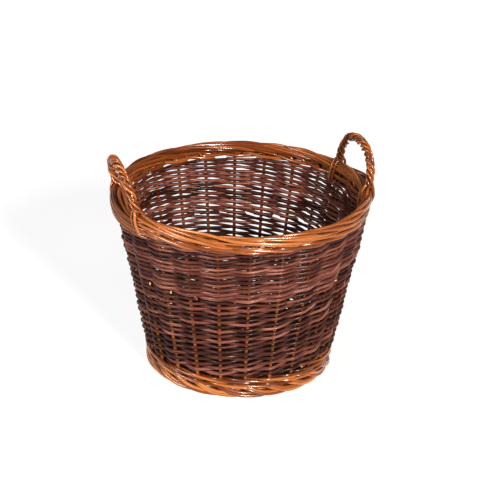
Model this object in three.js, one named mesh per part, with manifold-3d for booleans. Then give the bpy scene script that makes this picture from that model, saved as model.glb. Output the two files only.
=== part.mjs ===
// A round wicker log basket with a foot border, a wicker base, woven sides,
// a plain border at the rim and two roped handles, one on +X and one on -X.
// Millimetres, +Z up. The origin is on the floor, at the middle of the foot.

import * as THREE from 'three';
import { mergeVertices } from 'three/addons/utils/BufferGeometryUtils.js';
import Module from 'manifold-3d';

const wasm = await Module();
wasm.setup();

// ---------------------------------------------------------------- driving dimensions

const rimRadius = 255; // outside of the border
const bodyHeight = 375; // floor to the top of the border
const footRadius = 189; // outside of the foot border

const stakeCount = 24; // a multiple of 12, so that every pattern below closes
const stakeDiameter = 7;
const stakeFootLength = 70; // how far a stake's foot goes into the base
const clearance = 0.3; // left between pieces that touch

const borderWidth = 20;
const borderHeight = 20;
const footBorderWidth = 17;
const footBorderHeight = 24;

const sidingThickness = 5; // willow of the sides, across the wall
const sidingCourses = 10;
const waleThickness = 6;
const upsettRounds = 3;
const upsettRoundHeight = 7.2;
const topWaleRounds = 2;
const topWaleRoundHeight = 9;

const baseStickDiameter = 9;
const baseWeaveThickness = 3.5;
const baseCourses = 4;
const baseWeaveGap = 10; // from the woven base out to the inside of the foot border
const tyingWidth = 11; // the round that ties the crossed sticks together
const slitWall = 3.2; // willow left above and below the slit of a slit stick

const bowDiameter = 11;
const ropingDiameter = 19; // over the rods wrapped round a bow
const legDepth = 120; // how far a bow's pointed legs go down below the border
const legGap = 6; // between a leg and the stake it goes down beside
const legTipDiameter = 4;
const tailDiameter = 5.5; // the ends of the roping, brought down outside the border
const tailStart = 14; // height of a tail's upper end above the border
const tailDrop = 30; // how far a tail runs down below the border

// rise: the top of the border to the top of the roped handle. lean: the share of the stakes'
// outward lean that the arch keeps. spread: how far its sides reach, with its feet as 1.
const rightArch = { rise: 82, lean: 0.5, spread: 1.1 };
const leftArch = { rise: 88, lean: 1, spread: 1 };

// ---------------------------------------------------------------- sizes that follow

const degree = Math.PI / 180;
const stakePitch = 360 / stakeCount;
const pocketHalfAngle = stakePitch * 0.3; // a weaver lies flat this far each side of a stake
const handleStake = 1; // a bow's legs stand beside the stakes this many from its middle

const borderBottom = bodyHeight - borderHeight;
const stakeRimRadius = rimRadius - borderWidth / 2;
const stakeFootRadius = footRadius - footBorderWidth / 2;
const baseMiddle = footBorderHeight + stakeDiameter / 2 + 2 * clearance;
const stakeLean = (stakeRimRadius - stakeFootRadius) / (borderBottom - baseMiddle);
const upsettBottom = baseMiddle + stakeDiameter / 2 + 2 * clearance;
const sidingBottom = upsettBottom + upsettRounds * (upsettRoundHeight + clearance);
const topWaleBottom = borderBottom - topWaleRounds * (topWaleRoundHeight + clearance);
const legSpacing = stakeDiameter + legGap; // from the middle of a stake to the middle of its leg

const stickEnds = 12;
const stickPitch = 360 / stickEnds;
const stickSpacing = baseStickDiameter + 2 * clearance;
const firstStickAngle = stakePitch / 2;
const stickReach = footRadius - footBorderWidth - 4;
const slitHalfLength = 1.5 * baseStickDiameter + 4 * clearance;
const swellingHalfLength = slitHalfLength + 8;
const tyingInnerRadius = Math.hypot(swellingHalfLength, 1.5 * stickSpacing) + 7;
const tyingOuterRadius = tyingInnerRadius + tyingWidth;
const baseWeaveRadius = footRadius - footBorderWidth - baseWeaveGap;
const footInnerReach = stakeFootRadius - stakeFootLength;
const basePocketHalfAngle = 8.5;

const willow = {
  buff: { color: 0xa9662f, roughness: 0.42, metalness: 0 },
  brown: { color: 0x4a2a22, roughness: 0.5, metalness: 0 },
};

// The stakes lean outwards, so everything woven on them follows this radius.
const stakeRadiusAt = (z) => stakeFootRadius + stakeLean * (z - baseMiddle);

const polar = (radius, angle, z) =>
  new THREE.Vector3(radius * Math.cos(angle * degree), radius * Math.sin(angle * degree), z);

// ---------------------------------------------------------------- shape helpers

// A polygon for the section of a rod.
function roundSection(diameter, sides) {
  const corners = [];
  for (let i = 0; i < sides; i++) {
    const angle = ((i + 0.5) * 2 * Math.PI) / sides;
    corners.push(new THREE.Vector2(Math.cos(angle), Math.sin(angle)).multiplyScalar(diameter / 2));
  }
  return new THREE.Shape(corners);
}

// A path that is straight between its stations, with a section exactly at each of them.
class StationPath extends THREE.Curve {
  constructor(stations) {
    super();
    this.stations = stations;
  }

  getUtoTmapping(u) {
    return u;
  }

  getPoint(t, target = new THREE.Vector3()) {
    const place = THREE.MathUtils.clamp(t, 0, 1) * (this.stations.length - 1);
    const start = Math.min(Math.floor(place), this.stations.length - 2);
    return target.lerpVectors(this.stations[start], this.stations[start + 1], place - start);
  }
}

function rodThrough(stations, diameter, sides = 6) {
  return new THREE.ExtrudeGeometry(roundSection(diameter, sides), {
    steps: stations.length - 1,
    extrudePath: new StationPath(stations),
    bevelEnabled: false,
  });
}

// A closed ring made from a profile of (radius, z) points. shift(i) gives the angle of the
// i-th section and how far that section is pushed outwards and upwards.
function shapedRing(profile, sections, shift) {
  const closed = [...profile, profile[0]];
  const geometry = new THREE.LatheGeometry(closed, sections);
  const position = geometry.attributes.position;
  for (let v = 0; v < position.count; v++) {
    const { angle, out = 0, up = 0 } = shift(Math.floor(v / closed.length) % sections);
    const point = closed[v % closed.length];
    const placed = polar(point.x + out, angle, point.y + up);
    position.setXYZ(v, placed.x, placed.y, placed.z);
  }
  return geometry;
}

// A profile with its corners cut off, for the borders.
function bevelledProfile(innerRadius, outerRadius, bottom, top, bevel) {
  return [
    new THREE.Vector2(innerRadius + bevel, bottom),
    new THREE.Vector2(outerRadius - bevel, bottom),
    new THREE.Vector2(outerRadius, bottom + bevel),
    new THREE.Vector2(outerRadius, top - bevel),
    new THREE.Vector2(outerRadius - bevel, top),
    new THREE.Vector2(innerRadius + bevel, top),
    new THREE.Vector2(innerRadius, top - bevel),
    new THREE.Vector2(innerRadius, bottom + bevel),
  ];
}

function toSolid(geometry) {
  const bare = geometry.index ? geometry.toNonIndexed() : geometry.clone();
  bare.deleteAttribute('normal');
  bare.deleteAttribute('uv');
  const merged = mergeVertices(bare, 1e-4);
  return new wasm.Manifold(new wasm.Mesh({
    numProp: 3,
    vertProperties: new Float32Array(merged.attributes.position.array),
    triVerts: new Uint32Array(merged.index.array),
  }));
}

function fromSolid(solid) {
  const result = solid.getMesh();
  const geometry = new THREE.BufferGeometry();
  geometry.setAttribute('position', new THREE.BufferAttribute(result.vertProperties, 3));
  geometry.setIndex(new THREE.BufferAttribute(result.triVerts, 1));
  geometry.computeVertexNormals();
  return geometry;
}

const basket = new THREE.Group();

function addPiece(parent, name, geometry, finish) {
  const piece = new THREE.Mesh(geometry, new THREE.MeshStandardMaterial(finish));
  piece.name = name;
  parent.add(piece);
  return piece;
}

const numbered = (name, index) => `${name}_${String(index).padStart(2, '0')}`;

// ---------------------------------------------------------------- base

// Half of a base stick's course, seen from above: it leaves the cross beside its
// neighbours and fans out to its own place on the rim of the base.
function stickStations(side) {
  const straight = slitHalfLength + 5;
  const angle = side * stickPitch;
  const half = [
    new THREE.Vector3(straight, side * stickSpacing, baseMiddle),
    polar(tyingOuterRadius, angle, baseMiddle),
    polar(stickReach, angle, baseMiddle),
  ];
  const otherHalf = half.map((p) => new THREE.Vector3(-p.x, p.y, p.z)).reverse();
  return [...otherHalf, ...half];
}

// A slit stick swells round its slit, and the three crossing sticks go through it.
function slitStick(side) {
  const rod = toSolid(rodThrough(stickStations(side), baseStickDiameter, 8));
  const halfHeight = baseStickDiameter / 2 + clearance + slitWall;
  const outline = new THREE.Shape([
    new THREE.Vector2(-swellingHalfLength, -baseStickDiameter / 3),
    new THREE.Vector2(-slitHalfLength, -halfHeight),
    new THREE.Vector2(slitHalfLength, -halfHeight),
    new THREE.Vector2(swellingHalfLength, -baseStickDiameter / 3),
    new THREE.Vector2(swellingHalfLength, baseStickDiameter / 3),
    new THREE.Vector2(slitHalfLength, halfHeight),
    new THREE.Vector2(-slitHalfLength, halfHeight),
    new THREE.Vector2(-swellingHalfLength, baseStickDiameter / 3),
  ]);
  const swelling = new THREE.ExtrudeGeometry(outline, { depth: baseStickDiameter, bevelEnabled: false });
  swelling.rotateX(Math.PI / 2);
  swelling.translate(0, side * stickSpacing + baseStickDiameter / 2, baseMiddle);
  const slitHeight = baseStickDiameter + 2 * clearance;
  const slit = new THREE.BoxGeometry(2 * slitHalfLength, 2 * baseStickDiameter, slitHeight);
  slit.translate(0, side * stickSpacing, baseMiddle);
  return fromSolid(rod.add(toSolid(swelling)).subtract(toSolid(slit)));
}

function addBaseSticks() {
  const slitSet = new THREE.Group();
  slitSet.rotation.z = (firstStickAngle + stickPitch) * degree;
  const crossingSet = new THREE.Group();
  crossingSet.rotation.z = slitSet.rotation.z + Math.PI / 2;
  for (const side of [-1, 0, 1]) {
    addPiece(slitSet, `slit_base_stick_${side + 2}`, slitStick(side), willow.buff);
    const crossing = rodThrough(stickStations(side), baseStickDiameter, 8);
    addPiece(crossingSet, `crossing_base_stick_${side + 2}`, crossing, willow.buff);
  }
  basket.add(slitSet, crossingSet);
}

// A flat round of the base, which passes over one stick or group of sticks and under the next.
function baseRound(innerRadius, outerRadius, groups, halfAngle, steps, firstAngle, phase) {
  const half = baseWeaveThickness / 2;
  const profile = [
    new THREE.Vector2(innerRadius, baseMiddle - half),
    new THREE.Vector2(outerRadius, baseMiddle - half),
    new THREE.Vector2(outerRadius, baseMiddle + half),
    new THREE.Vector2(innerRadius, baseMiddle + half),
  ];
  const lift = baseStickDiameter / 2 + half + clearance;
  return shapedRing(profile, groups * (steps + 1), (i) => {
    const group = Math.floor(i / (steps + 1));
    const across = ((i % (steps + 1)) / steps) * 2 - 1;
    const over = (group + phase) % 2 === 0 ? 1 : -1;
    return { angle: firstAngle + (360 / groups) * group + across * halfAngle, up: over * lift };
  });
}

function addBaseWeave() {
  const groupMiddle = firstStickAngle + stickPitch;
  const tyingHalfAngle = stickPitch + 9;
  const tying = baseRound(tyingInnerRadius, tyingOuterRadius, 4, tyingHalfAngle, 6, groupMiddle, 0);
  addPiece(basket, 'base_tying_round', tying, willow.buff);
  const first = tyingOuterRadius + 1;
  const width = (baseWeaveRadius - first) / baseCourses;
  for (let i = 0; i < baseCourses; i++) {
    const inner = first + i * width;
    const course = baseRound(
      inner, inner + width - clearance, stickEnds, basePocketHalfAngle, 1, firstStickAngle, i,
    );
    addPiece(basket, numbered('base_weave', i + 1), course, willow.buff);
  }
}

// ---------------------------------------------------------------- stakes

// A stake's foot lies beside a base stick, one stake on each side of it. The stake
// then turns outwards to its own place, is pricked up and leans out to the border.
function stakeStations(index) {
  const angle = stakePitch * index;
  const stick = Math.round((angle - firstStickAngle) / stickPitch);
  const stickAngle = firstStickAngle + stick * stickPitch;
  const side = Math.sign(angle - stickAngle);
  const beside = side * ((baseStickDiameter + stakeDiameter) / 2 + 2 * clearance);
  const alongStick = (distance) => {
    const point = new THREE.Vector3(distance, beside, baseMiddle);
    return point.applyAxisAngle(new THREE.Vector3(0, 0, 1), stickAngle * degree);
  };
  const bend = stakeDiameter / 2;
  const top = borderBottom - clearance - stakeLean * bend;
  return [
    alongStick(footInnerReach),
    alongStick(stakeFootRadius * 0.78),
    polar(stakeFootRadius - bend, angle, baseMiddle),
    polar(stakeRadiusAt(baseMiddle + bend), angle, baseMiddle + bend),
    polar(stakeRadiusAt(top), angle, top),
  ];
}

function addStakes() {
  for (let k = 0; k < stakeCount; k++) {
    const stake = rodThrough(stakeStations(k), stakeDiameter);
    addPiece(basket, numbered('stake', k + 1), stake, willow.buff);
  }
}

// ---------------------------------------------------------------- sides

// One round of weaving. isOutside(k) says on which side it passes stake k. It lies flat
// against each stake and crosses the wall between one stake and the next.
function wovenRound(bottom, height, thickness, isOutside) {
  const flatShortfall = 1 / Math.cos(pocketHalfAngle * degree);
  const top = bottom + height;
  const stakeHalf = (stakeDiameter / 2) * Math.hypot(1, stakeLean) + clearance;
  const profile = [
    new THREE.Vector2(stakeRadiusAt(bottom) - thickness / 2, bottom),
    new THREE.Vector2(stakeRadiusAt(bottom) + thickness / 2, bottom),
    new THREE.Vector2(stakeRadiusAt(top) + thickness / 2, top),
    new THREE.Vector2(stakeRadiusAt(top) - thickness / 2, top),
  ];
  const sagOfFlat = stakeRadiusAt(top) * (flatShortfall - 1);
  const outward = stakeHalf + thickness / 2 + sagOfFlat;
  const inward = -stakeHalf - thickness / 2;
  return shapedRing(profile, 2 * stakeCount, (i) => {
    const stake = Math.floor(i / 2);
    const edge = i % 2 === 0 ? -pocketHalfAngle : pocketHalfAngle;
    return { angle: stakePitch * stake + edge, out: isOutside(stake) ? outward : inward };
  });
}

// Waling passes in front of two stakes and behind one, and each round moves on by a stake.
function addWale(name, bottom, rounds, roundHeight) {
  for (let i = 0; i < rounds; i++) {
    const level = bottom + i * (roundHeight + clearance);
    const round = wovenRound(level, roundHeight, waleThickness, (k) => (k + i) % 3 !== 0);
    addPiece(basket, numbered(name, i + 1), round, willow.buff);
  }
}

// The sides go in front of one stake and behind the next, turn and turn about.
function addSiding() {
  const pitch = (topWaleBottom - sidingBottom) / sidingCourses;
  for (let i = 0; i < sidingCourses; i++) {
    const level = sidingBottom + i * pitch;
    const course = wovenRound(level, pitch - clearance, sidingThickness, (k) => (k + i) % 2 === 0);
    addPiece(basket, numbered('siding_course', i + 1), course, willow.brown);
  }
}

// ---------------------------------------------------------------- handles

// A bow's leg runs down beside a stake, on the side away from the middle of the handle.
const legOutward = polar(1, stakePitch * handleStake, 0);
const legSideways = polar(1, stakePitch * handleStake + 90, 0);
const legDirection = legOutward.clone().multiplyScalar(stakeLean);
legDirection.z = 1;
legDirection.normalize();

function legPoint(z) {
  const point = legOutward.clone().multiplyScalar(stakeRadiusAt(z));
  point.addScaledVector(legSideways, legSpacing);
  point.z = z;
  return point;
}

const mirrored = (v) => new THREE.Vector3(v.x, -v.y, v.z);

// The bow springs from its legs in one arch.
const archFoot = legPoint(bodyHeight + 4 * clearance);
const archSteps = 20;
const archSides = 10;

function archPath({ rise, lean, spread }) {
  const middleRise = bodyHeight + rise - ropingDiameter / 2 - archFoot.z;
  const reach = archFoot.clone();
  reach.z += (middleRise * 4) / 3;
  reach.addScaledVector(legOutward, lean * stakeLean * (reach.z - archFoot.z));
  reach.y = archFoot.y * spread;
  return new THREE.CubicBezierCurve3(archFoot, reach, mirrored(reach), mirrored(archFoot));
}

function sweptArch(section, arch) {
  return new THREE.ExtrudeGeometry(section, {
    steps: archSteps,
    extrudePath: archPath(arch),
    bevelEnabled: false,
  });
}

// One leg with its point, a given gap larger all round.
function legSolid(gap) {
  const shoulder = (borderHeight + 2 * clearance) / legDirection.z;
  const length = shoulder + legDepth;
  const profile = [
    new THREE.Vector2(0, 0),
    new THREE.Vector2(legTipDiameter / 2 + gap, 0),
    new THREE.Vector2(stakeDiameter / 2 - clearance + gap, length - shoulder - 3),
    new THREE.Vector2(bowDiameter / 2 - clearance + gap, length),
    new THREE.Vector2(bowDiameter / 2 - clearance + gap, length + 1),
    new THREE.Vector2(0, length + 1),
  ];
  const leg = new THREE.LatheGeometry(profile, archSides);
  leg.rotateX(Math.PI / 2);
  leg.translate(0, 0, -length);
  const turn = new THREE.Quaternion();
  turn.setFromUnitVectors(new THREE.Vector3(0, 0, 1), legDirection);
  leg.applyQuaternion(turn);
  leg.translate(archFoot.x, archFoot.y, archFoot.z);
  return toSolid(leg);
}

function bowSolid(arch) {
  const bend = sweptArch(roundSection(bowDiameter, archSides), arch);
  const leg = legSolid(0);
  return toSolid(bend).add(leg).add(leg.mirror([0, 1, 0]));
}

function ropingGeometry(arch) {
  const section = roundSection(ropingDiameter, archSides);
  section.holes.push(roundSection(bowDiameter + 2 * clearance, archSides));
  return sweptArch(section, arch);
}

// A tail leaves the roping, lies down the outside of the border and ends on the weaving.
function tailGeometry(lean, mirror) {
  const half = tailDiameter / 2 + clearance;
  const ropingLean = lean * stakeLean;
  const besideFoot = stakeRadiusAt(archFoot.z) + (ropingDiameter / 2) * Math.hypot(1, ropingLean) + half;
  const besideRoping = (z) => besideFoot + ropingLean * (z - archFoot.z);
  const besideBorder = Math.max(rimRadius + half, besideRoping(bodyHeight));
  const wall = stakeDiameter / 2 + waleThickness + 4 * clearance;
  const onWeaving = (z) => stakeRadiusAt(z) + wall + half;
  const stations = [
    [besideRoping(bodyHeight + tailStart), bodyHeight + tailStart],
    [besideBorder, bodyHeight],
    [besideBorder, borderBottom + half],
    [onWeaving(borderBottom - half), borderBottom - half],
    [onWeaving(borderBottom - tailDrop), borderBottom - tailDrop],
  ].map(([radius, z]) => {
    const point = legOutward.clone().multiplyScalar(radius).addScaledVector(legSideways, legSpacing);
    point.z = z;
    return mirror ? mirrored(point) : point;
  });
  return rodThrough(stations, tailDiameter, 8);
}

function addHandle(side, turn, arch) {
  const handle = new THREE.Group();
  handle.rotation.z = turn;
  addPiece(handle, `${side}_handle_bow`, fromSolid(bowSolid(arch)), willow.buff);
  addPiece(handle, `${side}_handle_roping`, ropingGeometry(arch), willow.buff);
  addPiece(handle, `${side}_handle_tail_1`, tailGeometry(arch.lean, true), willow.buff);
  addPiece(handle, `${side}_handle_tail_2`, tailGeometry(arch.lean, false), willow.buff);
  basket.add(handle);
}

// ---------------------------------------------------------------- borders

// The border is laid over the tops of the stakes, and the legs of both bows go through it.
function addBorder() {
  const bevel = borderWidth / 4;
  const inner = rimRadius - borderWidth;
  const profile = bevelledProfile(inner, rimRadius, borderBottom, bodyHeight, bevel);
  let border = toSolid(shapedRing(profile, 2 * stakeCount, (i) => ({ angle: (stakePitch / 2) * i })));
  const hole = legSolid(clearance);
  for (const leg of [hole, hole.mirror([0, 1, 0])]) {
    border = border.subtract(leg).subtract(leg.mirror([1, 0, 0]));
  }
  addPiece(basket, 'border', fromSolid(border), willow.buff);
}

// The basket stands on the flat underside of the foot border.
function addFootBorder() {
  const bevel = footBorderWidth / 4;
  const inner = footRadius - footBorderWidth;
  const profile = bevelledProfile(inner, footRadius, 0, footBorderHeight, bevel);
  const ring = shapedRing(profile, 2 * stakeCount, (i) => ({ angle: (stakePitch / 2) * i }));
  addPiece(basket, 'foot_border', ring, willow.buff);
}

// ---------------------------------------------------------------- assembly

addBaseSticks();
addBaseWeave();
addStakes();
addFootBorder();
addWale('upsett_wale', upsettBottom, upsettRounds, upsettRoundHeight);
addSiding();
addWale('top_wale', topWaleBottom, topWaleRounds, topWaleRoundHeight);
addBorder();
addHandle('right', 0, rightArch);
addHandle('left', Math.PI, leftArch);

export default basket;
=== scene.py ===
"""A round wicker log basket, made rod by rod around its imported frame."""

import math

import bpy
import numpy as np
from mathutils import Matrix, Vector


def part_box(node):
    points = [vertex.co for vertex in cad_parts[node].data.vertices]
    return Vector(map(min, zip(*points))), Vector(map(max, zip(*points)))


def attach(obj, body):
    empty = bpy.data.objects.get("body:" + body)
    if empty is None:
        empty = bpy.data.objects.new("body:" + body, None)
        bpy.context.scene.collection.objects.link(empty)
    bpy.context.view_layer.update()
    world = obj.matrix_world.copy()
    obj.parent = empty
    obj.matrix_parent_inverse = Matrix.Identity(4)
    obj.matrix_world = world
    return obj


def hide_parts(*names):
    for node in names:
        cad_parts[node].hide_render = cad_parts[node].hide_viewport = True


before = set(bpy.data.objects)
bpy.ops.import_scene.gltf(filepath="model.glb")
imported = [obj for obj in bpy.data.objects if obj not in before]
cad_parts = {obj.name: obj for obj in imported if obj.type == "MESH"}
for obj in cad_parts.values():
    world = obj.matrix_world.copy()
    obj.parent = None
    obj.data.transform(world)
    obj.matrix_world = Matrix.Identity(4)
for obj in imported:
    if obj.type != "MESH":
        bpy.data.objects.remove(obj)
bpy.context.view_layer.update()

# ------------------------------------------------------------------ sizes, in metres

STAKES = 24
PITCH = 2 * math.pi / STAKES  # the angle from one stake to the next

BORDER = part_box("border")
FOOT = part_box("foot_border")
MIDDLE_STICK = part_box("crossing_base_stick_2")
RIM_RADIUS = BORDER[1][0]
BODY_HEIGHT = BORDER[1][2]
BORDER_BOTTOM = BORDER[0][2]
FOOT_RADIUS = FOOT[1][0]
BORDER_WIDTH = 0.020
FOOT_WIDTH = 0.017
BASE_MIDDLE = (MIDDLE_STICK[0][2] + MIDDLE_STICK[1][2]) / 2
SIDING_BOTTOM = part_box("siding_course_01")[0][2]
SIDING_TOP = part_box("top_wale_01")[0][2]
UPSETT_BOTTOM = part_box("upsett_wale_01")[0][2]

STAKE_RADIUS, STAKE_TIP = 0.0034, 0.0031
BASE_STICK_RADIUS = 0.0045
CLEARANCE = 0.0006  # between rods that lie side by side in the base

RIM_MIDDLE = RIM_RADIUS - BORDER_WIDTH / 2
FOOT_MIDDLE = FOOT_RADIUS - FOOT_WIDTH / 2
LEAN = (RIM_MIDDLE - FOOT_MIDDLE) / (BORDER_BOTTOM - BASE_MIDDLE)

rng = np.random.default_rng(24)


def wall_radius(z):
    """The radius of the stakes' middle line at a height."""
    return FOOT_MIDDLE + LEAN * (z - BASE_MIDDLE)


def place(angle, radius, z):
    """Points from cylindrical coordinates, which may be numbers or arrays."""
    angle, radius, z = np.broadcast_arrays(angle, radius, z)
    return np.stack([radius * np.cos(angle), radius * np.sin(angle), z], -1).astype(float)


def nodes_named(start):
    """The frame's nodes whose names begin like that, in order."""
    return sorted(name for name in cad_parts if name.startswith(start))


# ------------------------------------------------------------------ paths


def curve_point(a, b, c, d, t):
    """A smooth curve's point between b and c, where a comes before b and d after c."""
    square = (2 * a - 5 * b + 4 * c - d) * t**2
    cube = (3 * b - a - 3 * c + d) * t**3
    return 0.5 * (2 * b + (c - a) * t + square + cube)


def wander(count, spacing, length, size):
    """A smooth random curve of that many samples. It bends over about that length, and its
    values are of about that size."""
    knots = int(count * spacing / length) + 4
    values = rng.normal(0, size, knots)
    at = np.linspace(1, knots - 2, count)
    low = np.floor(at).astype(int).clip(1, knots - 3)
    a, b, c, d = (values[low + i] for i in (-1, 0, 1, 2))
    return curve_point(a, b, c, d, at - low)


def through(points, spacing):
    """A smooth path through the points, sampled at about that spacing."""
    p = np.asarray(points, float)
    p = np.vstack([2 * p[0] - p[1], p, 2 * p[-1] - p[-2]])
    t = np.linspace(0, 1, 16, endpoint=False)[:, None]
    dense = [curve_point(a, b, c, d, t) for a, b, c, d in zip(p[:-3], p[1:-2], p[2:-1], p[3:])]
    return evenly(np.vstack([*dense, p[-2:-1]]), spacing)


def evenly(path, spacing):
    """The same path with its points at even steps."""
    along = np.concatenate([[0], np.cumsum(np.linalg.norm(np.diff(path, axis=0), axis=1))])
    count = max(3, int(round(along[-1] / spacing)) + 1)
    at = np.linspace(0, along[-1], count)
    return np.stack([np.interp(at, along, path[:, i]) for i in range(3)], 1)


def frames_along(path):
    """A tangent and two crossways directions at each point, turning as little as possible."""
    tangent = np.gradient(path, axis=0)
    tangent /= np.linalg.norm(tangent, axis=1)[:, None]
    across = np.zeros_like(path)
    start = np.eye(3)[np.argmin(np.abs(tangent[0]))]
    across[0] = start - tangent[0] * (start @ tangent[0])
    across[0] /= np.linalg.norm(across[0])
    for i in range(1, len(path)):
        carried = across[i - 1] - tangent[i] * (across[i - 1] @ tangent[i])
        across[i] = carried / np.linalg.norm(carried)
    return tangent, across, np.cross(tangent, across)


# ------------------------------------------------------------------ rods

UNEVEN_LENGTH, UNEVEN = 0.02, 0.025  # a rod's thickness varies over this length, by this share
FIRST_KNOT = (0.01, 0.05)  # where a rod's first knot may be
KNOT_GAP = (0.035, 0.06)  # how far apart its knots may be
KNOT_LENGTH, KNOT_SWELL = 0.003, 0.10  # a knot's half length, and its height in the rod's radii


class Rod:
    """One willow rod: its path, its radius at both ends, and how aslant its ends are cut."""

    def __init__(self, path, butt, tip, cut=(0.0, 0.0), sides=10):
        self.path = np.asarray(path, float)
        self.butt, self.tip, self.cut = butt, tip, cut
        self.sides = sides

    def rings(self):
        """The rod's surface as rings of points, with the matching coordinates along its wood,
        and its length."""
        path, n = self.path, len(self.path)
        steps = np.linalg.norm(np.diff(path, axis=0), axis=1)
        along = np.concatenate([[0], np.cumsum(steps)])
        tangent, across, up = frames_along(path)
        radius = np.interp(along, [0, along[-1]], [self.butt, self.tip])
        radius = radius * (1 + wander(n, steps.mean(), UNEVEN_LENGTH, UNEVEN))
        angle = np.arange(self.sides) * 2 * math.pi / self.sides
        spread = radius[:, None] * self.knots(along, angle)
        flat_x, flat_y = spread * np.cos(angle), spread * np.sin(angle)
        rings = path[:, None] + flat_x[..., None] * across[:, None] + flat_y[..., None] * up[:, None]
        for row, slope in ((0, self.cut[0]), (-1, self.cut[1])):
            rings[row] += slope * flat_x[row][:, None] * tangent[row]
        wood = np.stack([flat_x, flat_y, np.broadcast_to(along[:, None], flat_x.shape)], -1)
        return rings, wood, along[-1]

    def knots(self, along, angle):
        """How much wider the rod is than its round section, at each ring and side."""
        shape = np.ones((len(along), len(angle)))
        for middle in np.arange(rng.uniform(*FIRST_KNOT), along[-1], rng.uniform(*KNOT_GAP)):
            side = rng.uniform(0, 2 * math.pi)
            swell = np.exp(-(((along - middle) / KNOT_LENGTH) ** 2))[:, None]
            shape += KNOT_SWELL * swell * np.maximum(0, np.cos(angle - side)) ** 2
        return shape


def make_piece(name, rods, material, replaced=()):
    """One mesh object from its rods. Cut ends take the second material."""
    points, wood, tone, faces, end_faces, strips = [], [], [], [], [], []
    first = 0
    for rod in rods:
        rings, grain, length = rod.rings()
        n, sides = rings.shape[:2]
        shift = np.array([0, 0, rng.uniform(0, 50)])
        own_tone = rng.uniform(0, 1)
        grid = first + np.arange(n * sides).reshape(n, sides)
        after = np.roll(grid, -1, axis=1)
        faces.append(np.stack([grid[:-1], after[:-1], after[1:], grid[1:]], -1).reshape(-1, 4))
        points.append(rings.reshape(-1, 3))
        wood.append((grain + shift).reshape(-1, 3))
        tone.append(np.full(n * sides, own_tone))
        end_faces += [grid[0][::-1], grid[-1]]
        strips.append((n, sides, length))
        first += n * sides
    quads = np.vstack(faces)
    mesh = bpy.data.meshes.new(name)
    mesh.from_pydata(np.vstack(points).tolist(), [], quads.tolist() + [e.tolist() for e in end_faces])
    mesh.materials.append(material)
    mesh.materials.append(PITH)
    mesh.polygons.foreach_set("use_smooth", [True] * len(quads) + [False] * len(end_faces))
    mesh.polygons.foreach_set("material_index", [0] * len(quads) + [1] * len(end_faces))
    mesh.attributes.new("wood", "FLOAT_VECTOR", "POINT").data.foreach_set("vector", np.vstack(wood).ravel())
    mesh.attributes.new("tone", "FLOAT", "POINT").data.foreach_set("value", np.concatenate(tone))
    mesh.uv_layers.new(name="OFBake").data.foreach_set("uv", bake_map(strips, rods).ravel())
    mesh.validate()
    piece = bpy.data.objects.new(name, mesh)
    bpy.context.scene.collection.objects.link(piece)
    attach(piece, "root")
    if replaced:
        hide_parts(*replaced)
    return piece


# Where things are in a column of a piece's map, as shares of the column's width and height.
STRIP_LEFT, STRIP_WIDTH = 0.05, 0.9
STRIP_BOTTOM, STRIP_HEIGHT = 0.01, 0.93
END_MIDDLES, END_HEIGHT = (0.28, 0.72), 0.97
END_RADII = (0.2, 0.015)


def bake_map(strips, rods):
    """Each rod's surface laid flat in columns, and its two ends above them, none overlapping."""
    girth = 2 * math.pi * np.mean([rod.butt + rod.tip for rod in rods]) / 2
    stretch = math.sqrt(sum(length for _, _, length in strips) * girth)
    rows = [max(1, int(round(stretch / length * (n - 1)))) for n, _, length in strips]
    columns = sum(math.ceil((n - 1) / row) for (n, _, _), row in zip(strips, rows))
    uv, ends, column = [], [], 0
    for (n, sides, _), row in zip(strips, rows):
        band, side = np.meshgrid(np.arange(n - 1), np.arange(sides), indexing="ij")
        left = (column + band // row + STRIP_LEFT + STRIP_WIDTH * side / sides) / columns
        right = left + STRIP_WIDTH / sides / columns
        low = STRIP_BOTTOM + STRIP_HEIGHT * (band % row) / row
        high = low + STRIP_HEIGHT / row
        corners = [(left, low), (right, low), (right, high), (left, high)]
        uv.append(np.stack([np.stack(corner, -1) for corner in corners], 2).reshape(-1, 2))
        turn = np.arange(sides) * 2 * math.pi / sides
        for middle in END_MIDDLES:
            u = (column + middle + END_RADII[0] * np.cos(turn)) / columns
            ends.append(np.stack([u, END_HEIGHT + END_RADII[1] * np.sin(turn)], -1))
        column += math.ceil((n - 1) / row)
    return np.vstack(uv + ends)


# ------------------------------------------------------------------ materials


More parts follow.
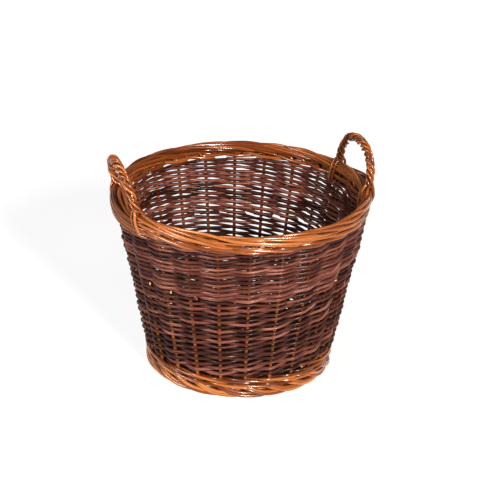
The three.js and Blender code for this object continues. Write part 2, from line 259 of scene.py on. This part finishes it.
class Nodes:
    """A short way to write a material's nodes."""

    def __init__(self, name):
        self.material = bpy.data.materials.new(name)
        self.material.use_nodes = True
        self.tree = self.material.node_tree
        self.shader = self.tree.nodes["Principled BSDF"]

    def add(self, kind, inputs=(), **settings):
        node = self.tree.nodes.new(kind)
        for key, value in settings.items():
            setattr(node, key, value)
        for socket, value in dict(inputs).items():
            self.put(node.inputs[socket], value)
        return node

    def put(self, socket, value):
        if isinstance(value, bpy.types.NodeSocket):
            self.tree.links.new(value, socket)
        else:
            socket.default_value = value

    def attribute(self, name, output):
        return self.add("ShaderNodeAttribute", attribute_name=name).outputs[output]

    def noise(self, vector, fineness, detail):
        """Noise with about that many waves per metre: across the rod, across it and along it."""
        scaled = self.add("ShaderNodeVectorMath", {0: vector, 1: fineness}, operation="MULTIPLY")
        inputs = {"Vector": scaled.outputs[0], "Scale": 1.0, "Detail": detail, "Roughness": 0.55}
        return self.add("ShaderNodeTexNoise", inputs).outputs["Fac"]

    def ramp(self, value, stops):
        node = self.add("ShaderNodeValToRGB", {"Fac": value})
        ramp = node.color_ramp
        while len(ramp.elements) < len(stops):
            ramp.elements.new(0.5)
        for element, (position, colour) in zip(ramp.elements, stops):
            element.position = position
            element.color = (*colour, 1)
        return node.outputs["Color"]

    def spread(self, value, low, high, to_low, to_high):
        inputs = {"Value": value, "From Min": low, "From Max": high, "To Min": to_low, "To Max": to_high}
        return self.add("ShaderNodeMapRange", inputs).outputs["Result"]

    def maths(self, operation, a, b):
        return self.add("ShaderNodeMath", {0: a, 1: b}, operation=operation).outputs[0]

    def mix(self, factor, a, b):
        """A mix of two colours, which go in the node's sockets 6 and 7."""
        node = self.add("ShaderNodeMix", data_type="RGBA", blend_type="MIX")
        self.put(node.inputs[0], factor)
        self.put(node.inputs[6], a)
        self.put(node.inputs[7], b)
        return node.outputs[2]

    def bump(self, height, distance, strength):
        inputs = {"Height": height, "Distance": distance, "Strength": strength}
        return self.add("ShaderNodeBump", inputs).outputs["Normal"]

    def surface(self, **values):
        for name, value in values.items():
            self.put(self.shader.inputs[name.replace("_", " ")], value)
        return self.material


# How fine each pattern is, in waves per metre: twice across the rod, then along it.
STREAKS = (900, 900, 26)
PATCHES = (60, 60, 14)
SCARS = (420, 420, 110)
WRINKLES = (1500, 1500, 90)
SPECKLES = (1400, 1400, 1400)

STREAKS_MIDDLE, TONE_MIDDLE = 0.225, 0.10  # the middle of what streaks and tone add to a shade
PATCH_SHARE, SCAR_SHARE = 0.35, 0.55  # how much patches and leaf scars change the colour
SCAR_EDGE = (0.66, 0.72)  # the noise's values where a leaf scar begins and is full
SCAR_HEIGHT = 0.6  # a leaf scar's height, with a wrinkle's as 1
BARK_RELIEF, PITH_RELIEF = 0.0006, 0.0003  # in metres


def willow(name, shades, marks, grain, variety, coat, roughness, relief):
    """Willow with streaks along the rod, a shade of its own for each rod, and small leaf scars."""
    m = Nodes(name)
    wood = m.attribute("wood", "Vector")
    tone = m.attribute("tone", "Fac")
    streaks = m.noise(wood, STREAKS, 4)
    patches = m.noise(wood, PATCHES, 2)
    lengthwise = m.spread(streaks, 0, 1, STREAKS_MIDDLE - grain / 2, STREAKS_MIDDLE + grain / 2)
    shade = m.maths("ADD", lengthwise, m.maths("MULTIPLY", patches, PATCH_SHARE))
    shade = m.maths("ADD", shade, m.spread(tone, 0, 1, TONE_MIDDLE - variety, TONE_MIDDLE + variety))
    scarred = m.spread(m.noise(wood, SCARS, 2), *SCAR_EDGE, 0, 1)
    colour = m.mix(m.maths("MULTIPLY", scarred, SCAR_SHARE), m.ramp(shade, shades), (*marks, 1))
    height = m.maths("ADD", m.noise(wood, WRINKLES, 4), m.maths("MULTIPLY", scarred, SCAR_HEIGHT))
    gloss = m.spread(streaks, 0.3, 0.7, roughness - 0.07, roughness + 0.10)
    return m.surface(
        Base_Color=colour, Roughness=gloss, Specular_IOR_Level=0.18,
        Coat_Weight=coat, Coat_Roughness=0.18,
        Normal=m.bump(height, BARK_RELIEF, relief),
    )


def pith():
    """The pale, speckled wood of a cut end."""
    m = Nodes("willow_pith")
    speckle = m.noise(m.attribute("wood", "Vector"), SPECKLES, 3)
    colour = m.ramp(speckle, [(0.25, (0.48, 0.25, 0.10)), (0.7, (0.83, 0.56, 0.30))])
    return m.surface(Base_Color=colour, Roughness=0.6, Normal=m.bump(speckle, PITH_RELIEF, 0.5))


BUFF = willow(
    "willow_buff",
    [(0.18, (0.040, 0.009, 0.002)), (0.40, (0.155, 0.042, 0.009)),
     (0.62, (0.310, 0.103, 0.024)), (0.88, (0.560, 0.260, 0.095))],
    marks=(0.04, 0.009, 0.003), grain=0.22, variety=0.21,
    coat=0.90, roughness=0.30, relief=0.35,
)
# Brown willow. Its last, palest stop is partly painted sheen: besides the rods' own paler streaks, the
# brightest streaks along the grain are given a highlight's pinkish grey.
BROWN = willow(
    "willow_brown",
    [(0.22, (0.008, 0.0020, 0.0012)), (0.42, (0.043, 0.0125, 0.0080)),
     (0.60, (0.138, 0.0440, 0.0290)), (0.82, (0.440, 0.2250, 0.1700))],
    marks=(0.22, 0.095, 0.055), grain=0.60, variety=0.14,
    coat=0.16, roughness=0.38, relief=1.0,
)
PITH = pith()


# ------------------------------------------------------------------ sides

LOWER_ROWS, UPPER_ROWS = 29, 24
LOWER_RADII, UPPER_RADII = (0.0035, 0.0030), (0.0036, 0.0026)  # at a side rod's butt and tip
LOWER_SHARE = 0.615  # how much of the side's height the lower set of rods takes
SETS_MEET = SIDING_BOTTOM + LOWER_SHARE * (SIDING_TOP - SIDING_BOTTOM)
SETS_LAP = 0.001  # how far the upper set begins inside the lower one
BEHIND_UPSETT, BEHIND_TOP_WALE = 0.008, 0.006  # how far the rows go on behind the wales
STAND_OFF = 1.05  # from a rod's surface to the middle of one that passes it, in its radii
ROUNDED = 0.15  # the share of a rod's way from inside to outside that is a wave, not straight
ROW_DRIFT = 0.0030
UPSETT_LOWER = 0.0065  # how far the upsett begins below its place in the frame
WALE_BEGINS = 6  # the stake at the back where every round of waling begins
WALE_CLIMBS = 5  # the strokes at a waling rod's end in which it climbs


def strokes(first, last):
    """Places along a woven rod, counted in stakes."""
    return np.arange(first, last, 0.1)


def randed_rod(first, rows, levels, butt, tip):
    """A rod of French randing: it starts inside a stake and climbs a row at each stake that it
    passes, outside one and inside the next."""
    u = strokes(-0.42, rows + 0.38)
    z = np.interp(u, np.arange(-1, rows + 2), levels)
    radius = np.interp(u, [0, rows], [butt, tip])
    swing = STAKE_RADIUS + STAND_OFF * radius
    wave = np.cos(math.pi * u)
    zigzag = 1 - 2 * np.abs(np.mod(u + 1, 2) - 1)
    straight = (1.1 * zigzag).clip(-1, 1)  # a little flattened beside each stake
    out = -swing * (ROUNDED * wave + (1 - ROUNDED) * straight)
    angle = (first + u) * PITCH
    z = z + row_drift(angle, z) + wander(len(u), spacing=0.0052, length=0.05, size=0.0007)
    out = out + wander(len(u), spacing=0.0052, length=0.05, size=0.0006)
    path = place(angle, wall_radius(z) + out, z)
    return Rod(path, butt, tip, cut=(rng.uniform(-1, 1), rng.uniform(-0.5, 0.5)))


def row_drift(angle, z):
    """How far the rows are from level: the weaver beats them down unevenly round the basket."""
    share = ((z - SIDING_BOTTOM) / (SIDING_TOP - SIDING_BOTTOM)).clip(0, 1)
    long_wave = np.sin(2 * angle + 0.6 + 3 * share)
    short_wave = np.sin(5 * angle + 2.1 - 4 * share)
    return ROW_DRIFT * np.sin(math.pi * share) * (long_wave + 0.6 * short_wave)


def randing(name, bottom, top, rows, butt, tip, replaced):
    """A set of rods, one begun at each stake."""
    thickness = np.linspace(butt, tip, rows) * rng.uniform(0.85, 1.15, rows)
    climb = (top - bottom - butt - tip) * thickness / thickness.sum()
    levels = bottom + butt + np.concatenate([[-climb[0]], [0], np.cumsum(climb)])
    levels = np.append(levels, levels[-1] + climb[-1])
    for k in range(STAKES):
        size = rng.uniform(0.88, 1.16)
        rod = randed_rod(k, rows, levels, butt * size, tip * size)
        make_piece(f"{name}_{k + 1:02d}", [rod], BROWN, replaced)


def make_siding():
    """The two sets of dark rods, the upper one begun where the lower one's tips end."""
    courses = nodes_named("siding_course")
    lower = round(len(courses) * LOWER_SHARE)
    bottom, top = SIDING_BOTTOM - BEHIND_UPSETT, SIDING_TOP + BEHIND_TOP_WALE
    randing("lower_side_rod", bottom, SETS_MEET, LOWER_ROWS, *LOWER_RADII, courses[:lower])
    randing("upper_side_rod", SETS_MEET - SETS_LAP, top, UPPER_ROWS, *UPPER_RADII, courses[lower:])


def waled_rod(start, bottom, thickness, climb):
    """A round of three-rod waling: behind one stake, then in front of two, over the rod beside
    it. The last strokes climb, to the round above or over the round's own beginning."""
    u = strokes(-0.3, STAKES + 0.3)
    swing = STAKE_RADIUS + thickness
    phase = np.mod(u, 3)  # it is behind a stake at 0, and in front of one at 1 and 2
    out = np.interp(phase, [0, 1, 1.5, 2, 3], [-1, 1, 1.06, 1, -1])
    out = swing * np.sign(out) * np.sin(np.abs(out).clip(0, 1) * math.pi / 2)
    lift = np.interp(phase, [0, 0.9, 2.1, 3], [-0.5, 1, -1, -0.5]) * thickness
    step = climb * np.interp(u, [0, STAKES - WALE_CLIMBS, STAKES], [0, 0, 1])
    z = bottom + step + lift + wander(len(u), spacing=0.005, length=0.08, size=0.0005)
    out = out + wander(len(u), spacing=0.005, length=0.08, size=0.0004)
    path = place((WALE_BEGINS + start + u) * PITCH, wall_radius(z) + out, z)
    butt, tip = thickness * rng.uniform(1.0, 1.1), thickness * rng.uniform(0.88, 1.0)
    return Rod(path, butt, tip, cut=(0.8, 0.6))


def wale(name, bottom, rounds, thickness, replaced):
    """Rounds of waling, one above the other."""
    height = 4 * thickness
    for turn in range(rounds):
        climb = height if turn < rounds - 1 else thickness
        for start in range(3):
            rod = waled_rod(start, bottom + height * turn, thickness, climb)
            make_piece(f"{name}_rod_{turn * 3 + start + 1:02d}", [rod], BUFF, replaced)


def make_wales():
    """Two rounds at the foot of the side, and one under the border."""
    replaced = nodes_named("upsett_wale")
    wale("upsett", UPSETT_BOTTOM - UPSETT_LOWER, rounds=2, thickness=0.0031, replaced=replaced)
    middle = (SIDING_TOP + BORDER_BOTTOM) / 2 + 0.001
    wale("top_wale", middle, rounds=1, thickness=0.0037, replaced=nodes_named("top_wale"))


# ------------------------------------------------------------------ stakes and borders

STAKE_FEET = (0.110, 0.138)  # how far from the middle a stake's foot lies beside a base stick
STAKE_BEND = 0.003  # how far inside its place in the wall a stake begins to turn up
STAKE_HEIGHTS = (BASE_MIDDLE + 0.006, 0.06, 0.13, 0.20, 0.27, 0.32, BORDER_BOTTOM - 0.016)

# A rod's way round the border: stakes passed, distance outwards from the border's middle line,
# and depth below its top.
BORDER_LAY = [
    (0.10, -0.0040, 0.0200), (0.5, -0.0066, 0.0165), (1.1, -0.0072, 0.0125),
    (2.0, -0.0062, 0.0072), (2.9, -0.0026, 0.0036), (3.7, 0.0028, 0.0036),
    (4.6, 0.0066, 0.0080), (5.6, 0.0072, 0.0145), (6.5, 0.0056, 0.0205), (6.9, 0.0010, 0.0225),
]
BORDER_LOOSE = 0.0014  # about how far a rod is from that way
DOUBLING_WIDTH, DOUBLING_LOWER = 0.9, 0.0004  # a doubling rod goes round nearer the middle line

# A foot rod's way: stakes passed, distance outwards from the foot's middle line, and height.
FOOT_LAY = [
    (-0.70, -0.0050, 0.0270), (-0.25, 0.0015, 0.0235), (0.15, 0.0058, 0.0180),
    (0.55, 0.0068, 0.0105), (1.0, 0.0058, 0.0060), (1.6, 0.0026, 0.0042),
    (2.2, -0.0030, 0.0042), (2.7, -0.0080, 0.0062), (3.1, -0.0100, 0.0100),
]
LOWEST = 0.0037  # the lowest height of a foot rod's middle
# A stake's second foot rod lies on its first: how far up and inwards, outside and then below.
FOOT_SECOND = ((0.0056, 0.0006), (0.0050, 0.0020))
FOOT_OUTSIDE = 1.3  # the stakes that a foot rod passes before it is below


def stake_path(k):
    """A stake from its foot in the base, up the side and round in the border."""
    angle = k * PITCH
    stick = (round((k - 0.5) / 2) * 2 + 0.5) * PITCH  # the direction of the base stick beside it
    side = 1 if angle > stick else -1
    beside = side * (BASE_STICK_RADIUS + STAKE_RADIUS + CLEARANCE) * place(stick + math.pi / 2, 1, 0)
    foot = [place(stick, reach, BASE_MIDDLE) + beside for reach in STAKE_FEET]
    foot.append(place(angle, FOOT_MIDDLE - STAKE_RADIUS - STAKE_BEND, BASE_MIDDLE))
    wall = [place(angle, wall_radius(z) + rng.normal(0, 0.0004), z) for z in STAKE_HEIGHTS]
    return through([*foot, *wall, *border_lay(angle)], 0.005)


def border_lay(angle, width=1, lower=0):
    """A rod's points round the border, on a way that may be narrower and a little lower."""
    end = rng.uniform(-0.3, 0.3)  # how much further this rod's end goes, in stakes
    loose = rng.normal(0, BORDER_LOOSE, (len(BORDER_LAY), 2))
    points = []
    for (passed, out, down), (outwards, up) in zip(BORDER_LAY, loose):
        at = angle + (passed + (end if passed > 5 else 0)) * PITCH
        points.append(place(at, RIM_MIDDLE + out * width + outwards, BODY_HEIGHT - down - lower + up))
    return points


def make_stakes():
    for k in range(STAKES):
        rod = Rod(stake_path(k), STAKE_RADIUS, STAKE_TIP, cut=(0, 2.0))
        make_piece(f"stake_rod_{k + 1:02d}", [rod], BUFF, [f"stake_{k + 1:02d}", "border"])


def make_doubling_rods():
    """Thinner rods laid in the border beside the stakes' tops, which fill it out."""
    for k in range(STAKES):
        path = through(border_lay((k + 0.5) * PITCH, DOUBLING_WIDTH, DOUBLING_LOWER), 0.005)
        rod = Rod(path, butt=0.0025, tip=0.0017, cut=(1.0, 2.0))
        make_piece(f"border_rod_{k + 1:02d}", [rod], BUFF, ["border"])


def foot_rod(k, second):
    """A rod of the foot border: it comes out under the wale, turns down past one stake, runs
    along the bottom past the next and goes in under the rods that follow."""
    points = []
    for passed, out, z in FOOT_LAY:
        up, inwards = FOOT_SECOND[0] if passed < FOOT_OUTSIDE else FOOT_SECOND[1]
        radius = FOOT_MIDDLE + out - second * inwards
        points.append(place(k * PITCH + passed * PITCH, radius, max(z + second * up, LOWEST)))
    path = through(points, 0.004)
    path += rng.normal(0, 0.0006, 3) * [1, 1, 0]
    return Rod(path, butt=0.0035, tip=0.0030, cut=(0.5, 1.0))


def make_foot_border():
    """Two rods from each stake, one above the other."""
    for k in range(STAKES):
        rods = [foot_rod(k, second=0), foot_rod(k, second=1)]
        make_piece(f"foot_border_rods_{k + 1:02d}", rods, BUFF, ["foot_border"])


# ------------------------------------------------------------------ base

STICK_DIRECTIONS = {"slit_base_stick": 2.5 * PITCH, "crossing_base_stick": 8.5 * PITCH}
STICK_END = 0.004  # from a base stick's end to the foot border
CROSS_HALF, FAN_FROM = 0.018, 0.038  # where the sticks leave the cross, and where they are fanned
SLIT_END, SLIT_TAPER = 0.030, 0.014  # how far a slit reaches from the middle, and closes over
SLIT_CLOSED, SLIT_OPENS = 0.0009, 0.0056  # how far a half is from the middle line, and what its slit adds
HALF_RADIUS = 0.78  # the radius of a slit stick's half, as a share of the stick's
STICK_TAPER = 0.94  # a base stick's radius at its thin end, as a share of that at its thick end
WEAVE_INNER = 0.0225
WEAVE_OUTER = FOOT_MIDDLE - 0.0085
WEAVE_RADIUS = 0.0022
WEAVE_PITCH = 2 * WEAVE_RADIUS * 0.97  # from one round to the next
WEAVE_HEIGHT = BASE_STICK_RADIUS * 0.9 + WEAVE_RADIUS  # of a strand over or under a stick
WEAVE_SWAY = 0.45 * WEAVE_RADIUS  # how far a strand moves sideways as the two twist
WEAVE_ENDS = 12  # the sticks' ends that a round passes
STRAND_RODS = 13  # the rods that each of the two strands is made of


def make_base_sticks():
    """Three slit sticks, and three that go through their slits, all fanned out."""
    spacing = 2 * BASE_STICK_RADIUS + CLEARANCE
    reach = FOOT_RADIUS - FOOT_WIDTH - STICK_END
    for kind, angle in STICK_DIRECTIONS.items():
        spin = np.array([[math.cos(angle), math.sin(angle)], [-math.sin(angle), math.cos(angle)]])
        for side in (-1, 0, 1):
            fan = 2 * PITCH * side
            half = [(CROSS_HALF, side * spacing)]
            half += [(r * math.cos(fan), r * math.sin(fan)) for r in (FAN_FROM, reach)]
            flat = [(-x, y) for x, y in half][::-1] + [(0, side * spacing)] + half
            xy = np.array(flat) @ spin
            path = through(np.column_stack([xy, np.full(len(xy), BASE_MIDDLE)]), 0.005)
            tip = BASE_STICK_RADIUS * STICK_TAPER
            rod = Rod(path, BASE_STICK_RADIUS, tip, cut=(0.3, -0.3), sides=12)
            rods = slit_halves(path, rod) if kind == "slit_base_stick" else [rod]
            name = f"{kind}_{side + 2}"
            make_piece(f"{name}_rod", rods, BUFF, [name])


def slit_halves(path, rod):
    """A slit stick parts round its slit, so it is a rod above and a rod below there."""
    from_middle = np.linalg.norm(path[:, :2] - path[len(path) // 2, :2], axis=1)
    opened = np.clip((SLIT_END - from_middle) / SLIT_TAPER, 0, 1)
    opened = opened**2 * (3 - 2 * opened)
    halves = []
    for way in (1, -1):
        bent = path.copy()
        bent[:, 2] += way * (SLIT_CLOSED + SLIT_OPENS * opened)
        butt, tip = rod.butt * HALF_RADIUS, rod.tip * HALF_RADIUS
        halves.append(Rod(bent, butt, tip, rod.cut, rod.sides))
    return halves


def make_base_weave():
    """Pairing: two strands twist round each other, one over a stick and one under it."""
    nodes = ["base_tying_round", *nodes_named("base_weave")]
    last_stroke = int((WEAVE_OUTER - WEAVE_INNER) / WEAVE_PITCH) * WEAVE_ENDS
    per_rod = int(last_stroke / STRAND_RODS)
    for way in (0, 1):
        for part in range(STRAND_RODS):
            last = (part + 1) * per_rod + 0.3 if part < STRAND_RODS - 1 else last_stroke
            u = strokes(part * per_rod - 0.3, last)
            twist = math.pi * (u + way)
            z = BASE_MIDDLE + WEAVE_HEIGHT * np.cos(twist)
            z = z + wander(len(u), spacing=0.004, length=0.05, size=0.0003)
            radius = WEAVE_INNER + (WEAVE_OUTER - WEAVE_INNER) * u / last_stroke
            radius = radius + WEAVE_SWAY * np.sin(twist)
            radius = radius + wander(len(u), spacing=0.004, length=0.05, size=0.0003)
            path = evenly(place((u * 2 + 0.5) * PITCH, radius, z), 0.0045)
            rod = Rod(path, WEAVE_RADIUS * 1.05, WEAVE_RADIUS * 0.9, cut=(0.5, 0.5), sides=8)
            name = f"base_weave_rod_{part * 2 + way + 1:02d}"
            make_piece(name, [rod], BROWN, nodes)


# ------------------------------------------------------------------ handles

BOW_RADIUS = 0.0036
ROPING_RADIUS = 0.0027
ROPING_RODS = 4
ROPING_TURNS = 4.639  # so that two rods come out inside the border and two outside at each foot
ROPING_START = 65  # in degrees round the bow, for the first rod
TAIL_TURN = math.radians(22)  # how far a tail is from straight outwards or inwards
LEG_SPACING = 0.013  # from the middle of a stake to the bow's leg beside it
LEG_DEPTHS = (0, 0.06, 0.12)  # points on a leg, below the border's bottom
ARCH_FOOT_UP = 0.0012  # the height of an arch's foot above the border
# The share of the stakes' lean that each arch keeps, and how far its sides reach for feet at 1.
ARCH_LEAN = {"right": 0.7, "left": 1.45}
ARCH_SPREAD = {"right": 1.2, "left": 1.0}

# A roping rod's way down from the arch: height above the border's top, distance from the leg,
# the share of its last turn that it has made, and how far it has gone along the border.
WAY_DOWN = [
    (0.004, 0.0088, 0.35, 0.000), (-0.006, 0.0128, 0.75, 0.001), (-0.016, 0.0142, 1.0, 0.002),
    (-0.027, 0.0128, 1.0, 0.004), (-0.037, 0.0106, 1.0, 0.006), (-0.044, 0.0060, 1.0, 0.009),
    (-0.049, -0.001, 1.0, 0.012),
]

# A lashing rod's way between a handle's feet, at stakes from the handle's middle: how far it
# has fallen, and how far its middle line is from the border's outline.
LASHING_RODS = 6
LASHING_STAKES = (-1.75, -1.45, -1.1, -0.7, -0.2, 0.3, 0.8, 1.15, 1.5, 1.8)
LASHING_FALL = ((-1.75, 0.011), (-1.35, 0.001), (-0.9, 0.002), (0.9, 0.016), (1.8, 0.020))
LASHING_RISE = ((-1.75, -0.010), (-1.2, 0.0032), (0.0, 0.0095), (1.2, 0.0032), (1.8, -0.010))
LASHING_TOP, LASHING_STEP = 0.0050, 0.0057  # the first rod's height, and the step to the next
# The border's outline outside its middle line: height above its top, and distance outwards.
BORDER_OUTLINE = (
    (-0.040, 0.0055), (-0.022, 0.0090), (-0.008, 0.0098), (-0.002, 0.0070), (0.006, 0.0020),
)


def leg_point(z):
    """A point on a bow's leg, which goes down beside the first stake."""
    return place(PITCH, wall_radius(z), z) + LEG_SPACING * place(PITCH + math.pi / 2, 1, 0)


MIRROR = np.array([1, -1, 1])  # from one foot of a handle to the other
ARCH_FOOT = leg_point(BODY_HEIGHT + ARCH_FOOT_UP)


def arch(t, side):
    """The middle line of a bow above the border, from its first foot to its second."""
    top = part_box(f"{side}_handle_roping")[1][2] - BOW_RADIUS - 2 * ROPING_RADIUS
    rise = (top - ARCH_FOOT[2]) * 4 / 3  # the curve goes up 3/4 of the way to its control points
    reach = ARCH_FOOT + rise * place(PITCH, ARCH_LEAN[side] * LEAN, 1)
    reach[1] = ARCH_FOOT[1] * ARCH_SPREAD[side]
    t = np.asarray(t, float)[:, None]
    a, b, c, d = ARCH_FOOT * MIRROR, reach * MIRROR, reach, ARCH_FOOT
    return (1 - t) ** 3 * a + 3 * (1 - t) ** 2 * t * b + 3 * (1 - t) * t**2 * c + t**3 * d


def bow_rod(side):
    """The thick rod inside a handle, with its legs in the side."""
    legs = np.array([leg_point(BORDER_BOTTOM - depth) for depth in LEG_DEPTHS])
    path = np.vstack([legs[::-1] * MIRROR, arch(np.linspace(0, 1, 60), side), legs])
    return Rod(evenly(path, 0.004), BOW_RADIUS, BOW_RADIUS, sides=16)


def way_down(turned, foot):
    """The end of a roping rod, from the foot of the arch over the border and into the side. A
    rod is outside the border or inside it, depending on how far round the bow it has come."""
    outside = math.cos(turned) > 0
    target = TAIL_TURN if turned % math.pi < math.pi / 2 else -TAIL_TURN
    target += 0 if outside else math.pi
    turned = target + (turned - target + math.pi) % (2 * math.pi) - math.pi  # the short way round
    points = []
    for up, distance, share, along in WAY_DOWN:
        way = turned + (target - turned) * share
        leg = leg_point(BODY_HEIGHT + up)
        angle = math.atan2(leg[1], leg[0])
        if foot == 0:
            angle, leg = -angle, leg * MIRROR
        point = leg + distance * math.cos(way) * place(angle, 1, 0)
        points.append(point + (distance * math.sin(way) + along) * place(angle + math.pi / 2, 1, 0))
    return np.array(points)


def roping_rod(i, side):
    """A thin rod wound round the bow. Its ends go down over the border and into the side."""
    line = evenly(arch(np.linspace(0, 1, 300), side), 0.002)
    tangent, _, _ = frames_along(line)
    outward = place(0, 1, -ARCH_LEAN[side] * LEAN)
    outward /= np.linalg.norm(outward)
    inward = np.cross(outward, tangent)
    first = math.radians(ROPING_START - 360 / ROPING_RODS * i)
    last = first + 2 * math.pi * ROPING_TURNS
    turned = np.linspace(first, last, len(line))
    turned = turned + wander(len(line), spacing=0.002, length=0.03, size=0.16)
    around = BOW_RADIUS + ROPING_RADIUS * STAND_OFF
    around = around + wander(len(line), spacing=0.002, length=0.02, size=0.0006)
    direction = np.cos(turned)[:, None] * outward + np.sin(turned)[:, None] * inward
    coil = line + around[:, None] * direction
    path = np.vstack([way_down(-first, 0)[::-1], coil[3:-3:2], way_down(last, 1)])
    butt, tip = ROPING_RADIUS * rng.uniform(0.94, 1.1), ROPING_RADIUS * 0.94
    return Rod(through(path, 0.0025), butt, tip, cut=(1, 1))


def lashing_rod(i):
    """A rod laid slantwise down the outside of the border between a handle's feet."""
    stakes = np.array(LASHING_STAKES)
    fall = np.interp(stakes, *zip(*LASHING_FALL))
    z = BODY_HEIGHT + LASHING_TOP - LASHING_STEP * i - fall
    surface = np.interp(z - BODY_HEIGHT, *zip(*BORDER_OUTLINE))
    raised = np.interp(stakes, *zip(*LASHING_RISE))
    path = place(stakes * PITCH, RIM_MIDDLE + surface + raised, z)
    path += rng.normal(0, 0.0005, path.shape)
    return Rod(through(path, 0.004), butt=0.0027, tip=0.0021, cut=(1, 1))


def make_handles():
    """Both handles are made on the right side, and the left one's rods are turned round."""
    for side, turn in (("right", 0.0), ("left", math.pi)):
        handle = f"{side}_handle"
        spin = np.array(Matrix.Rotation(turn, 3, "Z"))
        roping = [f"{handle}_roping", f"{handle}_tail_1", f"{handle}_tail_2"]
        parts = [("bow_rod", bow_rod(side), [f"{handle}_bow"])]
        parts += [(f"roping_rod_{i + 1}", roping_rod(i, side), roping) for i in range(ROPING_RODS)]
        parts += [(f"lashing_rod_{i + 1}", lashing_rod(i), []) for i in range(LASHING_RODS)]
        for name, rod, replaced in parts:
            rod.path = rod.path @ spin.T
            make_piece(f"{handle}_{name}", [rod], BUFF, replaced)


# ------------------------------------------------------------------ studio

FLOOR_HALF = 6.0
SUN_FROM = (27, 25)  # to the right of the camera, and above the horizon, in degrees
LEFT_FROM = (60, 32)  # the same for the light to the left of the camera
CAMERA_AZIMUTH = -19.5
CAMERA_ELEVATION = 24.475
CAMERA_DISTANCE = 14 * RIM_RADIUS
CAMERA_ROLL = 1.5
LENS = 128.9
AIM_UP, AIM_RIGHT = 0.0516, 0.0107


def make_floor():
    half = FLOOR_HALF
    corners = [(-half, -half, 0), (half, -half, 0), (half, half, 0), (-half, half, 0)]
    mesh = bpy.data.meshes.new("floor")
    mesh.from_pydata(corners, [], [(0, 1, 2, 3)])
    m = Nodes("studio_floor")
    mesh.materials.append(m.surface(
        Base_Color=(0.14, 0.14, 0.145, 1), Roughness=0.9,
        Emission_Color=(1, 1, 1, 1), Emission_Strength=0.85,
    ))
    floor = bpy.data.objects.new("floor", mesh)
    bpy.context.scene.collection.objects.link(floor)


def seen_from(azimuth, elevation):
    """The direction towards a viewer. At azimuth 0 the view is along +Y."""
    a, e = math.radians(azimuth), math.radians(elevation)
    return Vector((math.sin(a) * math.cos(e), -math.cos(a) * math.cos(e), math.sin(e)))


def area_light(name, azimuth, elevation, distance, size, power):
    """A soft light that looks at the basket from an angle round it."""
    light = bpy.data.lights.new(name, "AREA")
    light.shape = "DISK"
    light.size = size
    light.energy = power
    lamp = bpy.data.objects.new(name, light)
    direction = seen_from(azimuth, elevation)
    lamp.location = direction * distance + Vector((0, 0, BODY_HEIGHT / 2))
    lamp.rotation_euler = direction.to_track_quat("Z", "Y").to_euler()
    bpy.context.scene.collection.objects.link(lamp)


def make_light():
    """Soft white all round, a broad warm sun from the front right, and a light from the left."""
    scene = bpy.context.scene
    world = bpy.data.worlds.new("studio")
    world.use_nodes = True
    background = world.node_tree.nodes["Background"]
    background.inputs["Color"].default_value = (1, 1, 1, 1)
    background.inputs["Strength"].default_value = 0.22
    scene.world = world
    sun = bpy.data.lights.new("sun", "SUN")
    sun.energy = 6.0
    sun.angle = math.radians(10)
    sun.color = (1, 0.97, 0.92)
    lamp = bpy.data.objects.new("sun", sun)
    direction = seen_from(CAMERA_AZIMUTH + SUN_FROM[0], SUN_FROM[1])
    lamp.rotation_euler = direction.to_track_quat("Z", "Y").to_euler()
    scene.collection.objects.link(lamp)
    area_light("left", CAMERA_AZIMUTH - LEFT_FROM[0], LEFT_FROM[1], distance=2.4, size=0.9, power=48)
    scene.view_settings.view_transform = "Standard"
    scene.view_settings.look = "None"
    scene.view_settings.gamma = 0.8


def make_camera():
    data = bpy.data.cameras.new("camera")
    data.lens = LENS
    data.sensor_width = 36
    data.clip_end = 50
    camera = bpy.data.objects.new("camera", data)
    back = seen_from(CAMERA_AZIMUTH, CAMERA_ELEVATION)
    upright = back.to_track_quat("Z", "Y")
    shift = upright @ Vector((AIM_RIGHT, AIM_UP, 0))
    camera.location = back * CAMERA_DISTANCE + Vector((0, 0, BODY_HEIGHT / 2)) + shift
    roll = Matrix.Rotation(math.radians(CAMERA_ROLL), 3, "Z")
    camera.rotation_euler = (upright.to_matrix() @ roll).to_euler()
    bpy.context.scene.collection.objects.link(camera)
    bpy.context.scene.camera = camera


# ------------------------------------------------------------------ the scene

make_camera()
make_light()
make_floor()
make_siding()
make_wales()
make_stakes()
make_doubling_rods()
make_foot_border()
make_base_sticks()
make_base_weave()
make_handles()
